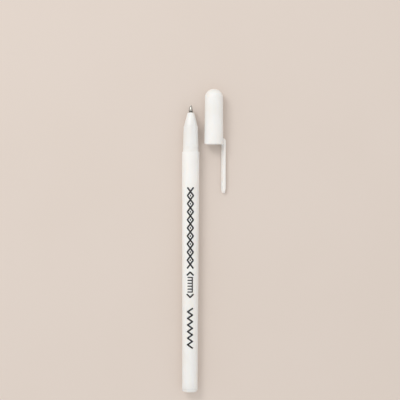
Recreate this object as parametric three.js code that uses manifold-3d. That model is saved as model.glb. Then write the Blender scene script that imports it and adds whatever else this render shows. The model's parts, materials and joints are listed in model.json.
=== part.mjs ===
// Fabric marking pen with heat-erasable ink: a slim ball-point pen lying on a table, its pull-off cap beside it.
// Millimetres. +Y runs along the pen towards its point, +Z is up, and the table is z = 0.
// Stations along the pen are measured from the flat end of its tail plug, stations along the cap from its mouth.

import * as THREE from "three";
import { mergeVertices } from "three/addons/utils/BufferGeometryUtils.js";
import Module from "manifold-3d";

const wasm = await Module();
wasm.setup();

// Barrel, one moulding with a stepped neck that the cap slides over
const BARREL_LENGTH = 120.3;
const BARREL_RADIUS = 4.42; // at the shoulder
const BARREL_TAPER = 0.45; // how much smaller the radius is at the tail
const NECK_LENGTH = 12.9;
const SHOULDER_STEP = 0.49; // from the barrel's surface down to the neck's
const NECK_TAPER = 0.31;
const NECK_WALL = 0.57; // at the front of the neck, where it is thinnest
const BEAD_STATION = 2.7; // from the shoulder to the middle of the bead that the cap snaps over
const BEAD_WIDTH = 0.9;
const BEAD_HEIGHT = 0.09;
const EDGE = 0.15; // chamfer on moulded rims
const LEAD_IN = 0.2; // chamfer where one piece is pushed into another

// Tail plug
const PLUG_HEAD_LENGTH = 1.55;
const PLUG_FACE_RADIUS = 2.7;
const PLUG_HEAD_INSET = 0.01; // the head is this much smaller than the barrel round it
const PLUG_SPIGOT_LENGTH = 6;
const VENT_WIDTH = 0.6;
const VENT_DEPTH = 0.45;

// Nose cone, pressed into the neck
const CONE_LENGTH = 6.8;
const CONE_STEP = 0.22; // the neck stands this far outside the base of the cone
const CONE_SWELL = 0.08; // how far the cone's side bulges past a straight line
const CONE_FRONT_WALL = 0.44;
const CONE_FRONT_ROUND = 0.18;
const CONE_SPIGOT_LENGTH = 7.5;
const CONE_SPIGOT_WALL = 0.87;
const SHANK_BORE_LENGTH = 3.9;

// Ball-point tip, turned from metal, with its ball and sealing spring
const TIP_REACH = 4; // from the front of the cone to the front of the ball
const SHANK_RADIUS = 1.15;
const SHANK_SHOW = 1.4; // how much of the shank stands out of the cone
const SHANK_EDGE = 0.08;
const TIP_STEP = 0.15; // from the shank's edge down to the tip's taper
const TIP_TAIL_STEP = 0.2; // from the shank down to the tail pressed into the holder
const TIP_TAIL_LENGTH = 5;
const TIP_TAIL_WALL = 0.35;
const BALL_RADIUS = 0.35;
const BALL_CLEARANCE = 0.015;
const LIP_WALL = 0.115;
const LIP_ROUND = 0.035;
const LIP_LENGTH = 0.3;
const LIP_PAST_BALL_CENTRE = 0.12; // the lip is closed in this far past the ball's middle
const INK_CHANNEL_RADIUS = 0.2;
const INK_CHANNEL_LENGTH = 0.85;
const SPRING_WIRE_RADIUS = 0.08;
const SPRING_CLEARANCE = 0.06;
const SPRING_STOP_BITE = 0.07; // how far the rolled-in tail laps over the last coil
const SPRING_COIL_LENGTH = 7.4;
const SPRING_TURNS = 9;
const SPRING_CLOSING_TURNS = 1.5; // turns over which the coil draws in to the straight front of the wire

// Refill: tip holder, ink tube, ink, and the grease plug and float that follow it
const HOLDER_FLANGE_LENGTH = 1.2;
const HOLDER_SPIGOT_LENGTH = 6;
const HOLDER_PASSAGE_RADIUS = 0.72;
const TUBE_CLEARANCE = 0.15; // all round, between ink tube and barrel
const TUBE_WALL = 0.4;
const INK_FILL_LENGTH = 78;
const FOLLOWER_LENGTH = 14;
const FLOAT_LENGTH = 11;
const FLOAT_MARGIN = 0.7; // grease all round the float

// Cap, one moulding with its clip, and the sealing liner and pad inside it
const CAP_CLEARANCE = 0.12; // all round, between the cap's bore and the neck
const CAP_WALL = 0.73;
const CAP_CROWN = 2.22; // from the liner's end to the top of the dome
const DOME_WALL = 1.02;
const GROOVE_WIDTH = 1.8; // the groove inside the cap that the neck's bead snaps into
const LINER_LEDGE = 0.14;
const LINER_SETBACK = 0.6; // from the front of the seated neck to the ledge
const LINER_SEAL_STATION = 2; // from the base of the cone to where the liner meets it
const LINER_SEAL_WIDTH = 0.8;
const LINER_RELIEF = 0.05;
const LINER_END_WALL = 0.6;
const PAD_THICKNESS = 1.5;
const PAD_RADIUS = 1.7;
const PAD_PROUD = 0.4;
const SEAL_GAP = 0.05;

// Clip
const CLIP_REACH = 24.8; // how far the clip runs past the mouth
const CLIP_WIDTH = 2.6;
const CLIP_THICKNESS = 1.25;
const CLIP_GAP = 0.65; // between the cap's outside and the clip's inner face
const CLIP_ROOT_HEIGHT = 3.5; // from the mouth to the top of the root
const CLIP_ROOT_ROUND = 1.9;
const CLIP_ROOT_SINK = 0.2; // the root runs this far into the cap's wall
const CLIP_WEB_LIFT = 0.3; // the web under the clip starts this far above the mouth
const CLIP_EDGE = 0.22;
const CLIP_END_LENGTH = 2; // the free end narrows over this length
const GRIP_LENGTH = 3.2; // the swelling on the inner face that grips a pocket
const GRIP_WIDTH = 1.5;
const GRIP_HEIGHT = 0.32;
const GRIP_STATION = 20.6; // from the mouth to the middle of the swelling

// Where the loose cap lies
const CAP_SIDE_OFFSET = 11.7; // between the axes of the pen and the cap
const MOUTH_AHEAD = 3.8; // the cap's mouth lies this far ahead of the shoulder

// Fits between pieces
const CONTACT_GAP = 0.03; // faces that touch are drawn this far apart
const PRESS_CLEARANCE = 0.03; // pressed pieces, all round
const SLIP_CLEARANCE = 0.05; // pieces that slip together, all round

const OUTER_FACETS = 48;
const INNER_FACETS = 32;
const TIP_FACETS = 24;
const DOME_STEPS = 9;
const CONE_STEPS = 6;
const PLUG_ROUND_STEPS = 5;

// Stations along the pen, from the tail
const barrelStart = PLUG_HEAD_LENGTH + CONTACT_GAP;
const shoulderAt = barrelStart + BARREL_LENGTH;
const neckEnd = shoulderAt + NECK_LENGTH;
const coneStart = neckEnd + CONTACT_GAP;
const coneEnd = coneStart + CONE_LENGTH;
const tipEnd = coneEnd + TIP_REACH;
const plugEnd = barrelStart + PLUG_SPIGOT_LENGTH;
const coneSpigotRear = coneStart - CONE_SPIGOT_LENGTH;
const shankRear = coneEnd - SHANK_BORE_LENGTH;
const shankEnd = coneEnd + SHANK_SHOW;
const tipRear = shankRear - TIP_TAIL_LENGTH;
const ballCentre = tipEnd - BALL_RADIUS;
const holderFront = shankRear - CONTACT_GAP;
const flangeFront = coneSpigotRear - CONTACT_GAP;
const flangeRear = flangeFront - HOLDER_FLANGE_LENGTH;
const holderRear = flangeRear - HOLDER_SPIGOT_LENGTH;
const tubeFront = flangeRear - CONTACT_GAP;
const tubeRear = plugEnd + CONTACT_GAP;
const inkFront = holderRear - CONTACT_GAP;
const inkRear = inkFront - INK_FILL_LENGTH;
const followerFront = inkRear - CONTACT_GAP;
const followerRear = followerFront - FOLLOWER_LENGTH;

// Radii of the pen's pieces, from the outside in
const tailRadius = BARREL_RADIUS - BARREL_TAPER;
const neckRearRadius = BARREL_RADIUS - SHOULDER_STEP;
const neckRadiusAt = (s) => neckRearRadius - (NECK_TAPER * s) / NECK_LENGTH;
const neckFrontRadius = neckRadiusAt(NECK_LENGTH);
const barrelBoreRadius = neckFrontRadius - NECK_WALL;
const spigotRadius = barrelBoreRadius - PRESS_CLEARANCE;
const holderBoreRadius = spigotRadius - CONE_SPIGOT_WALL;
const holderRadius = holderBoreRadius - SLIP_CLEARANCE;
const shankBoreRadius = SHANK_RADIUS + SLIP_CLEARANCE;
const tipTailRadius = SHANK_RADIUS - TIP_TAIL_STEP;
const tipSocketRadius = tipTailRadius + PRESS_CLEARANCE;
const springBoreRadius = tipTailRadius - TIP_TAIL_WALL;
const springCoilRadius = springBoreRadius - SPRING_CLEARANCE - SPRING_WIRE_RADIUS;
const springStopRadius = springCoilRadius + SPRING_WIRE_RADIUS - SPRING_STOP_BITE;
const ballSeatRadius = BALL_RADIUS + BALL_CLEARANCE;
const tubeRadius = barrelBoreRadius - TUBE_CLEARANCE;
const tubeBoreRadius = tubeRadius - TUBE_WALL;
const inkRadius = tubeBoreRadius - SLIP_CLEARANCE;

// The cone's side swells a little between its base and its front.
const coneRearRadius = neckFrontRadius - CONE_STEP;
const coneFrontRadius = shankBoreRadius + CONE_FRONT_WALL;
const coneRadiusAt = (s) =>
  coneRearRadius +
  ((coneFrontRadius - coneRearRadius) * s) / CONE_LENGTH +
  CONE_SWELL * Math.sin((Math.PI * s) / CONE_LENGTH);

// Cap stations, from the mouth; with the cap on the pen, the mouth meets the shoulder
const seatedConeStart = NECK_LENGTH + CONTACT_GAP;
const seatedTipEnd = seatedConeStart + CONE_LENGTH + TIP_REACH;
const padFront = seatedTipEnd + SEAL_GAP;
const padRear = padFront + PAD_THICKNESS;
const pocketEnd = padRear + CONTACT_GAP;
const linerEnd = pocketEnd + LINER_END_WALL;
const capLength = linerEnd + CAP_CROWN;
const ledgeAt = NECK_LENGTH + LINER_SETBACK;

// Radii of the cap
const capBoreAt = (s) => neckRadiusAt(s) + CAP_CLEARANCE;
const capMouthRadius = capBoreAt(0) + CAP_WALL;
const capNoseBore = capBoreAt(NECK_LENGTH);
const linerBoreRadius = capNoseBore - LINER_LEDGE;
const linerRadius = linerBoreRadius - PRESS_CLEARANCE;
const domeRadius = linerBoreRadius + DOME_WALL;
const domeCentre = capLength - domeRadius;
const clipInner = capMouthRadius + CLIP_GAP;
const clipOuter = clipInner + CLIP_THICKNESS;

// The cap lies rolled over until a rounded edge of its clip touches the table.
const clipEdgeOut = clipOuter - CLIP_EDGE;
const clipEdgeAcross = CLIP_WIDTH / 2 - CLIP_EDGE;
const capHeight = capMouthRadius;
const capRoll =
  Math.asin((capHeight - CONTACT_GAP - CLIP_EDGE) / Math.hypot(clipEdgeOut, clipEdgeAcross)) -
  Math.atan2(clipEdgeAcross, clipEdgeOut);

// The tapered barrel lies on one facet of its side, which lifts the point a little.
const flatOf = (radius) => radius * Math.cos(Math.PI / OUTER_FACETS);
const restTilt = Math.atan((flatOf(BARREL_RADIUS) - flatOf(tailRadius)) / BARREL_LENGTH);
const tailHeight = flatOf(tailRadius) * Math.cos(restTilt) - barrelStart * Math.sin(restTilt);

// The origin is on the table, under the middle of the box round pen and cap.
const capReachRight =
  clipEdgeOut * Math.cos(capRoll) + clipEdgeAcross * Math.sin(capRoll) + CLIP_EDGE;
const penX = (flatOf(BARREL_RADIUS) - CAP_SIDE_OFFSET - capReachRight) / 2;
const capX = penX + CAP_SIDE_OFFSET;
const mouthFromTail = shoulderAt + MOUTH_AHEAD;
const tailY = -(mouthFromTail + capLength) / 2;
const mouthY = tailY + mouthFromTail;

const plastic = (color, roughness) =>
  new THREE.MeshStandardMaterial({ color, roughness, metalness: 0 });
const metal = (color, roughness) =>
  new THREE.MeshStandardMaterial({ color, roughness, metalness: 1 });
const whitePlastic = plastic(0xf6f5f2, 0.35);

function piece(name, geometry, material) {
  const mesh = new THREE.Mesh(geometry, material);
  mesh.name = name;
  return mesh;
}

// A solid of revolution about +Y from [radius, station] pairs, with a flat facet facing the table.
function revolve(profile, facets) {
  const points = profile.map(([radius, station]) => new THREE.Vector2(radius, station));
  return new THREE.LatheGeometry(points, facets, Math.PI / facets, Math.PI * 2);
}

// A plain round plug between two stations.
function revolvePlug(radius, rear, front) {
  return revolve([[0, rear], [radius, rear], [radius, front], [0, front]], INNER_FACETS);
}

// Part of a circle in a profile, about a centre on the axis; angle 0 is straight out from the axis.
function arc(centre, radius, from, to, steps) {
  return Array.from({ length: steps + 1 }, (_, i) => {
    const angle = from + ((to - from) * i) / steps;
    return [radius * Math.cos(angle), centre + radius * Math.sin(angle)];
  });
}

function solidOf(geometry) {
  const bare = geometry.clone();
  bare.deleteAttribute("normal");
  bare.deleteAttribute("uv");
  const merged = mergeVertices(bare, 1e-4);
  return new wasm.Manifold(
    new wasm.Mesh({
      numProp: 3,
      vertProperties: merged.attributes.position.array,
      triVerts: new Uint32Array(merged.index.array),
    }),
  );
}

function geometryOf(solid) {
  const mesh = solid.getMesh();
  const geometry = new THREE.BufferGeometry();
  geometry.setAttribute("position", new THREE.BufferAttribute(mesh.vertProperties, 3));
  geometry.setIndex(new THREE.BufferAttribute(mesh.triVerts, 1));
  geometry.computeVertexNormals();
  return geometry;
}

function makeBarrel() {
  const beadRear = BEAD_STATION - BEAD_WIDTH / 2;
  const beadFront = BEAD_STATION + BEAD_WIDTH / 2;
  const profile = [
    [barrelBoreRadius, barrelStart],
    [tailRadius - EDGE, barrelStart],
    [tailRadius, barrelStart + EDGE],
    [BARREL_RADIUS, shoulderAt - EDGE],
    [BARREL_RADIUS - EDGE, shoulderAt],
    [neckRearRadius, shoulderAt],
    [neckRadiusAt(beadRear), shoulderAt + beadRear],
    [neckRadiusAt(BEAD_STATION) + BEAD_HEIGHT, shoulderAt + BEAD_STATION],
    [neckRadiusAt(beadFront), shoulderAt + beadFront],
    [neckRadiusAt(NECK_LENGTH - EDGE), neckEnd - EDGE],
    [neckFrontRadius - EDGE, neckEnd],
    [barrelBoreRadius, neckEnd],
    [barrelBoreRadius, barrelStart],
  ];
  return piece("barrel", revolve(profile, OUTER_FACETS), whitePlastic);
}

// The plug's head is rounded to a flat end, and a groove along its underside lets air into the barrel.
function makeTailPlug() {
  const headRadius = tailRadius - PLUG_HEAD_INSET;
  const roundEnd = PLUG_HEAD_LENGTH - EDGE;
  const head = Array.from({ length: PLUG_ROUND_STEPS + 1 }, (_, i) => {
    const angle = ((Math.PI / 2) * i) / PLUG_ROUND_STEPS;
    const across = (headRadius - PLUG_FACE_RADIUS) * Math.sin(angle);
    return [PLUG_FACE_RADIUS + across, roundEnd * (1 - Math.cos(angle))];
  });
  const profile = [
    [0, 0],
    ...head,
    [headRadius, PLUG_HEAD_LENGTH],
    [spigotRadius, PLUG_HEAD_LENGTH],
    [spigotRadius, plugEnd - LEAD_IN],
    [spigotRadius - LEAD_IN, plugEnd],
    [0, plugEnd],
  ];
  const grooveFloor = spigotRadius - VENT_DEPTH;
  const grooveHeight = headRadius - grooveFloor + EDGE;
  const grooveRear = PLUG_HEAD_LENGTH - VENT_DEPTH;
  const grooveLength = plugEnd - grooveRear + EDGE;
  const groove = new THREE.BoxGeometry(VENT_WIDTH, grooveLength, grooveHeight);
  groove.translate(0, grooveRear + grooveLength / 2, -(grooveFloor + grooveHeight / 2));
  const plug = solidOf(revolve(profile, OUTER_FACETS)).subtract(solidOf(groove));
  return piece("tail_plug", geometryOf(plug), whitePlastic);
}

function makeNoseCone() {
  const sideLength = CONE_LENGTH - EDGE - CONE_FRONT_ROUND;
  const side = Array.from({ length: CONE_STEPS }, (_, i) => {
    const s = EDGE + (sideLength * i) / (CONE_STEPS - 1);
    return [coneRadiusAt(s), coneStart + s];
  });
  const profile = [
    [holderBoreRadius, coneSpigotRear],
    [spigotRadius - LEAD_IN, coneSpigotRear],
    [spigotRadius, coneSpigotRear + LEAD_IN],
    [spigotRadius, coneStart],
    [coneRearRadius - EDGE / 2, coneStart],
    ...side,
    [coneFrontRadius - CONE_FRONT_ROUND, coneEnd],
    [shankBoreRadius, coneEnd],
    [shankBoreRadius, shankRear],
    [holderBoreRadius, shankRear],
    [holderBoreRadius, coneSpigotRear],
  ];
  return piece("nose_cone", revolve(profile, OUTER_FACETS), whitePlastic);
}

function makePointTip() {
  const lipFront = ballCentre + LIP_PAST_BALL_CENTRE;
  const lipHole = Math.sqrt(ballSeatRadius ** 2 - LIP_PAST_BALL_CENTRE ** 2);
  const lipRadius = ballSeatRadius + LIP_WALL;
  const seatRear = ballCentre - ballSeatRadius;
  const channelRear = seatRear - INK_CHANNEL_LENGTH;
  const profile = [
    [springStopRadius, tipRear],
    [tipTailRadius, tipRear],
    [tipTailRadius, shankRear],
    [SHANK_RADIUS, shankRear],
    [SHANK_RADIUS, shankEnd - SHANK_EDGE],
    [SHANK_RADIUS - SHANK_EDGE, shankEnd],
    [SHANK_RADIUS - TIP_STEP, shankEnd],
    [lipRadius, lipFront - LIP_LENGTH],
    [lipRadius - LIP_ROUND, lipFront - LIP_LENGTH / 3],
    [lipHole + LIP_ROUND, lipFront],
    [lipHole, lipFront],
    [ballSeatRadius, ballCentre],
    [ballSeatRadius, ballCentre - ballSeatRadius / 2],
    [INK_CHANNEL_RADIUS, seatRear],
    [INK_CHANNEL_RADIUS, channelRear],
    [springBoreRadius, channelRear - springBoreRadius],
    [springBoreRadius, tipRear + SPRING_WIRE_RADIUS * 2],
    [springStopRadius, tipRear + SPRING_WIRE_RADIUS],
    [springStopRadius, tipRear],
  ];
  return piece("point_tip", revolve(profile, TIP_FACETS), metal(0xc9c7c0, 0.28));
}

function makeBall() {
  const ball = new THREE.SphereGeometry(BALL_RADIUS, 16, 12);
  ball.translate(0, ballCentre, 0);
  return piece("tip_ball", ball, metal(0x9a9a9c, 0.15));
}

// The wire winds forward in a coil, then runs straight up the middle to press on the back of the ball.
class SpringLine extends THREE.Curve {
  constructor(rear, front) {
    super();
    this.rear = rear;
    this.front = front;
    this.coilShare = 0.86;
  }

  getPoint(t, target = new THREE.Vector3()) {
    const coilFront = this.rear + SPRING_COIL_LENGTH;
    if (t > this.coilShare) {
      const along = (t - this.coilShare) / (1 - this.coilShare);
      return target.set(0, coilFront + (this.front - coilFront) * along, 0);
    }
    const along = t / this.coilShare;
    const turns = along * SPRING_TURNS;
    const closing = Math.max(0, 1 - (SPRING_TURNS - turns) / SPRING_CLOSING_TURNS);
    const radius = springCoilRadius * (1 - closing * closing);
    const angle = turns * Math.PI * 2;
    const y = this.rear + SPRING_COIL_LENGTH * along;
    return target.set(radius * Math.cos(angle), y, radius * Math.sin(angle));
  }
}

function makeTipSpring() {
  const rear = tipRear + SPRING_WIRE_RADIUS * 3 + CONTACT_GAP;
  const front = ballCentre - BALL_RADIUS - CONTACT_GAP;
  const wire = new THREE.Shape().absarc(0, 0, SPRING_WIRE_RADIUS, 0, Math.PI * 2);
  const geometry = new THREE.ExtrudeGeometry(wire, {
    extrudePath: new SpringLine(rear, front),
    steps: SPRING_TURNS * 12,
    curveSegments: 3,
  });
  return piece("tip_spring", geometry, metal(0xb4b6b8, 0.3));
}

function makeTipHolder() {
  const tubeSpigotRadius = tubeBoreRadius - PRESS_CLEARANCE;
  const socketFloor = tipRear - CONTACT_GAP;
  const profile = [
    [HOLDER_PASSAGE_RADIUS, holderRear],
    [tubeSpigotRadius - LEAD_IN, holderRear],
    [tubeSpigotRadius, holderRear + LEAD_IN],
    [tubeSpigotRadius, flangeRear],
    [tubeRadius, flangeRear],
    [tubeRadius, flangeFront],
    [holderRadius, flangeFront],
    [holderRadius, holderFront - LEAD_IN],
    [holderRadius - LEAD_IN, holderFront],
    [tipSocketRadius, holderFront],
    [tipSocketRadius, socketFloor],
    [HOLDER_PASSAGE_RADIUS, socketFloor],
    [HOLDER_PASSAGE_RADIUS, holderRear],
  ];
  return piece("tip_holder", revolve(profile, INNER_FACETS), plastic(0xe8ebee, 0.5));
}

function makeInkTube() {
  const profile = [
    [tubeBoreRadius, tubeRear],
    [tubeRadius, tubeRear],
    [tubeRadius, tubeFront],
    [tubeBoreRadius, tubeFront],
    [tubeBoreRadius, tubeRear],
  ];
  return piece("ink_tube", revolve(profile, INNER_FACETS), plastic(0xe4e8ea, 0.4));
}

// The ink fills the tube up to the tip holder, and a thin stem of it fills the holder's passage.
function makeInk() {
  const stemRadius = HOLDER_PASSAGE_RADIUS - SLIP_CLEARANCE;
  const stemFront = tipRear - CONTACT_GAP * 2;
  const profile = [
    [0, inkRear],
    [inkRadius, inkRear],
    [inkRadius, inkFront],
    [stemRadius, inkFront],
    [stemRadius, stemFront],
    [0, stemFront],
  ];
  return piece("ink_charge", revolve(profile, INNER_FACETS), plastic(0xfbfbfa, 0.2));
}

const floatRadius = inkRadius - FLOAT_MARGIN;

// Grease behind the ink keeps air off it. The float sits in it, its rear end level with the grease.
function makeFollower() {
  const pocketRadius = floatRadius + SLIP_CLEARANCE;
  const pocketFront = followerRear + FLOAT_LENGTH + CONTACT_GAP;
  const profile = [
    [pocketRadius, followerRear],
    [inkRadius, followerRear],
    [inkRadius, followerFront],
    [0, followerFront],
    [0, pocketFront],
    [pocketRadius, pocketFront],
    [pocketRadius, followerRear],
  ];
  return piece("ink_follower", revolve(profile, INNER_FACETS), plastic(0xe9dfb6, 0.25));
}

function makeFloat() {
  const geometry = revolvePlug(floatRadius, followerRear, followerRear + FLOAT_LENGTH);
  return piece("follower_float", geometry, plastic(0xdfe4e6, 0.4));
}

// The clip's side outline, with x out from the cap's axis and y the station, swept across its width.
function clipStrip() {
  const rootSeat = Math.sqrt(capMouthRadius ** 2 - (CLIP_WIDTH / 2) ** 2) - CLIP_ROOT_SINK;
  const roundCentre = CLIP_ROOT_HEIGHT - CLIP_ROOT_ROUND;
  const endRound = CLIP_THICKNESS / 2;
  const endCentre = endRound - CLIP_REACH;
  const outline = new THREE.Shape();
  outline.moveTo(rootSeat, CLIP_WEB_LIFT);
  outline.lineTo(capMouthRadius, CLIP_WEB_LIFT);
  outline.quadraticCurveTo(clipInner, CLIP_WEB_LIFT, clipInner, CLIP_WEB_LIFT - CLIP_GAP);
  outline.lineTo(clipInner, endCentre);
  outline.absarc(clipInner + endRound, endCentre, endRound, Math.PI, Math.PI * 2, false);
  outline.lineTo(clipOuter, roundCentre);
  outline.absellipse(
    rootSeat, roundCentre, clipOuter - rootSeat, CLIP_ROOT_ROUND, 0, Math.PI / 2, false,
  );
  const strip = new THREE.ExtrudeGeometry(outline, {
    depth: CLIP_WIDTH - 2 * CLIP_EDGE,
    bevelThickness: CLIP_EDGE,
    bevelSize: CLIP_EDGE,
    bevelOffset: -CLIP_EDGE,
    bevelSegments: 2,
    curveSegments: 7,
  });
  return strip.translate(0, 0, CLIP_EDGE - CLIP_WIDTH / 2);
}

// What the clip keeps, seen from outside: all of it but the corners of its narrowed end.
function clipFront() {
  const half = CLIP_WIDTH / 2;
  const wide = CLIP_WIDTH;
  const narrowFrom = CLIP_END_LENGTH - CLIP_REACH;
  const outline = new THREE.Shape();
  outline.moveTo(-wide, CLIP_ROOT_HEIGHT * 2);
  outline.lineTo(-wide, narrowFrom);
  outline.lineTo(-half, narrowFrom);
  outline.absellipse(0, narrowFrom, half, CLIP_END_LENGTH, Math.PI, Math.PI * 2, false);
  outline.lineTo(wide, narrowFrom);
  outline.lineTo(wide, CLIP_ROOT_HEIGHT * 2);
  const face = new THREE.ExtrudeGeometry(outline, {
    depth: clipOuter * 2,
    bevelEnabled: false,
    curveSegments: 7,
  });
  return face.rotateY(Math.PI / 2);
}

function clipSolid() {
  const grip = new THREE.SphereGeometry(1, 16, 10);
  grip.scale(GRIP_HEIGHT, GRIP_LENGTH / 2, GRIP_WIDTH / 2);
  grip.translate(clipInner, -GRIP_STATION, 0);
  return solidOf(clipStrip()).intersect(solidOf(clipFront())).add(solidOf(grip));
}

// One moulding: a domed tube with a snap groove inside its mouth and a ledge for the liner, and the clip.
function makeCapShell() {
  const grooveFrom = BEAD_STATION - GROOVE_WIDTH / 2;
  const grooveTo = BEAD_STATION + GROOVE_WIDTH / 2;
  const profile = [
    [capBoreAt(0) + LEAD_IN, 0],
    [capMouthRadius - EDGE, 0],
    [capMouthRadius, EDGE],
    ...arc(domeCentre, domeRadius, 0, Math.PI / 2, DOME_STEPS),
    ...arc(domeCentre, linerBoreRadius, Math.PI / 2, 0, DOME_STEPS - 2),
    [linerBoreRadius, ledgeAt],
    [capNoseBore, ledgeAt],
    [capNoseBore, NECK_LENGTH],
    [capBoreAt(grooveTo), grooveTo],
    [capBoreAt(BEAD_STATION) + BEAD_HEIGHT, BEAD_STATION],
    [capBoreAt(grooveFrom), grooveFrom],
    [capBoreAt(LEAD_IN), LEAD_IN],
    [capBoreAt(0) + LEAD_IN, 0],
  ];
  const shell = solidOf(revolve(profile, OUTER_FACETS)).add(clipSolid());
  return piece("cap_shell", geometryOf(shell), whitePlastic);
}

// A cup pressed into the cap. Its lip meets the nose cone and keeps the point from drying.
function makeCapLiner() {
  const start = ledgeAt + CONTACT_GAP;
  const sealAt = seatedConeStart + LINER_SEAL_STATION;
  const sealRadius = coneRadiusAt(LINER_SEAL_STATION) + SEAL_GAP;
  const lipRadius = coneRadiusAt(start - seatedConeStart) + SEAL_GAP * 2;
  const reliefRadius = sealRadius + LINER_RELIEF;
  const pocketRadius = PAD_RADIUS + PRESS_CLEARANCE;
  const pocketFront = padFront + PAD_PROUD;
  const shoulderAngle = Math.asin((linerEnd - domeCentre) / linerRadius);
  const profile = [
    [lipRadius, start],
    [linerRadius, start],
    ...arc(domeCentre, linerRadius, 0, shoulderAngle, 4),
    [0, linerEnd],
    [0, pocketEnd],
    [pocketRadius, pocketEnd],
    [pocketRadius, pocketFront],
    [reliefRadius, pocketFront],
    [reliefRadius, sealAt + LINER_SEAL_WIDTH],
    [sealRadius, sealAt],
    [lipRadius, start],
  ];
  return piece("cap_liner", revolve(profile, INNER_FACETS), plastic(0xeef0f0, 0.45));
}

function makeSealPad() {
  return piece("seal_pad", revolvePlug(PAD_RADIUS, padFront, padRear), plastic(0xd9d6cf, 0.8));
}

const pen = new THREE.Group();
pen.position.set(penX, tailY, tailHeight);
pen.rotation.x = restTilt;
pen.add(makeBarrel(), makeTailPlug(), makeNoseCone());
pen.add(makePointTip(), makeBall(), makeTipSpring(), makeTipHolder());
pen.add(makeInkTube(), makeInk(), makeFollower(), makeFloat());

const cap = new THREE.Group();
cap.position.set(capX, mouthY, capHeight);
cap.rotation.y = capRoll;
cap.add(makeCapShell(), makeCapLiner(), makeSealPad());

const markingPen = new THREE.Group();
markingPen.add(pen, cap);

export default markingPen;
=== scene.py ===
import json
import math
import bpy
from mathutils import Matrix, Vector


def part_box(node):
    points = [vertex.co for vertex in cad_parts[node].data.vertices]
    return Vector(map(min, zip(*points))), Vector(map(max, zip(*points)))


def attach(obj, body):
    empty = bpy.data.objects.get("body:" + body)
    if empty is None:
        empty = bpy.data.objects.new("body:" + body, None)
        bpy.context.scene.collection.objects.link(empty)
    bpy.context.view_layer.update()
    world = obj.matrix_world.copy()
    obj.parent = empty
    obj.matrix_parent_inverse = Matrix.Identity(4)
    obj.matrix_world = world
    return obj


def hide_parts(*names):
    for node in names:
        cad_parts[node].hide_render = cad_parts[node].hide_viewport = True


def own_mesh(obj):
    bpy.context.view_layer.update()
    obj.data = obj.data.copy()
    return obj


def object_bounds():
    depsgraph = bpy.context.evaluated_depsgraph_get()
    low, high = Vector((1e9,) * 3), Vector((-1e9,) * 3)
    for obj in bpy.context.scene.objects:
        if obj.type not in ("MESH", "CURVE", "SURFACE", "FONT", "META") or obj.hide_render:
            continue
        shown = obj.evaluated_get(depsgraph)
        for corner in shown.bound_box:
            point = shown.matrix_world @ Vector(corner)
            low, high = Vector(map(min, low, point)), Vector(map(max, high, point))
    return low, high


bl_info = {
    "name": "Fabric Pen",
    "version": (1, 0, 0),
    "blender": (4, 5, 0),
    "location": "3D View > Sidebar > Fabric Pen",
    "description": "Builds a slim ball-point fabric pen with its pull-off clip cap lying beside it",
    "category": "Object",
}

from contextlib import contextmanager
from inspect import signature
from types import SimpleNamespace

import bmesh
import bpy
from bpy.props import FloatProperty, FloatVectorProperty, IntProperty, PointerProperty
from mathutils import Matrix, Vector

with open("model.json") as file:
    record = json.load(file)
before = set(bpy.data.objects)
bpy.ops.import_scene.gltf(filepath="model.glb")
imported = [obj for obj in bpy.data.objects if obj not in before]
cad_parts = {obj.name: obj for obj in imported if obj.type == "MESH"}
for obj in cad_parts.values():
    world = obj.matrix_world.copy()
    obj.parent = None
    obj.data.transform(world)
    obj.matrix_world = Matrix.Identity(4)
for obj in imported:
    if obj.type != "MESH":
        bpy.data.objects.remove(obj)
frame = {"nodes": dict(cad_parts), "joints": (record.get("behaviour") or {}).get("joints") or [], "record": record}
CAD_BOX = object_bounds()

# Pieces are drawn in millimetres about the Z axis, then laid in their place in metres.
MM = 0.001
TURN_STEPS = 96
ROUND_SEGMENTS = 4
SMOOTH_ANGLE = math.radians(32)
# Corners nearer to each other than this are the same corner.
NEAR = 1e-4
# A slanting direction, along which hardly any two parts of a mesh are level.
SORT_WAY = Vector((7.31, 3.77, 1))
# Slope at the end of a part that is pressed into another.
CHAMFER = 0.2
# Width of the mark where the halves of a mould met.
SEAM_WIDTH = 0.09
# The print is laid out this far over the pen's axis, in strips of this width that can bend round the barrel.
PRINT_LIFT = 9
STRIP_WIDTH = 0.32
# Metres, for the floor and for the point of it that the camera looks straight down at.
FLOOR_SIZE = 3
CAMERA_OVER = (-0.00191, 0.02048)


# Places and sizes read from the frame

def standing_on(origin, along, side):
    """The place of a piece drawn about Z, whose Z is to run along it and whose X is to point to a side."""
    along = along.normalized()
    side = (side - along * side.dot(along)).normalized()
    turn = Matrix((side, along.cross(side), along)).transposed()
    return Matrix.Translation(origin) @ turn.to_4x4()


def half_width(node):
    """Half of a node's width from left to right, in millimetres."""
    low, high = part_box(node)
    return (high.x - low.x) / 2 / MM


def reach(node, place):
    """How far from the origin of a place a node starts and ends along it, in millimetres."""
    into = place.inverted()
    along = [(into @ vertex.co).z / MM for vertex in frame["nodes"][node].data.vertices]
    return min(along), max(along)


def pen_place():
    """The pen is drawn from the flat end of its tail plug, and its local -Y side faces up from the table."""
    tail = frame["record"]["mounts"][0]
    return standing_on(Vector(tail["pos_m"]), -Vector(tail["axis"]), Vector((1, 0, 0)))


def cap_place(cap_length):
    """The cap is drawn from its mouth, and its local X side carries the clip."""
    pad_low, pad_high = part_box("seal_pad")
    middle = (pad_low + pad_high) / 2
    middle.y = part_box("cap_shell")[1].y - cap_length
    shell = {tuple(vertex.co) for vertex in frame["nodes"]["cap_shell"].data.vertices}
    # Only the clip reaches so far back, so its last 2 mm show to which side it lies.
    end = min(y for _, y, _ in shell)
    tip = [Vector((x, middle.y, z)) for x, y, z in shell if y < end + 2 * MM]
    clip_way = sum(tip, Vector()) / len(tip) - middle
    return standing_on(middle, Vector((0, 1, 0)), clip_way)


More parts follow.
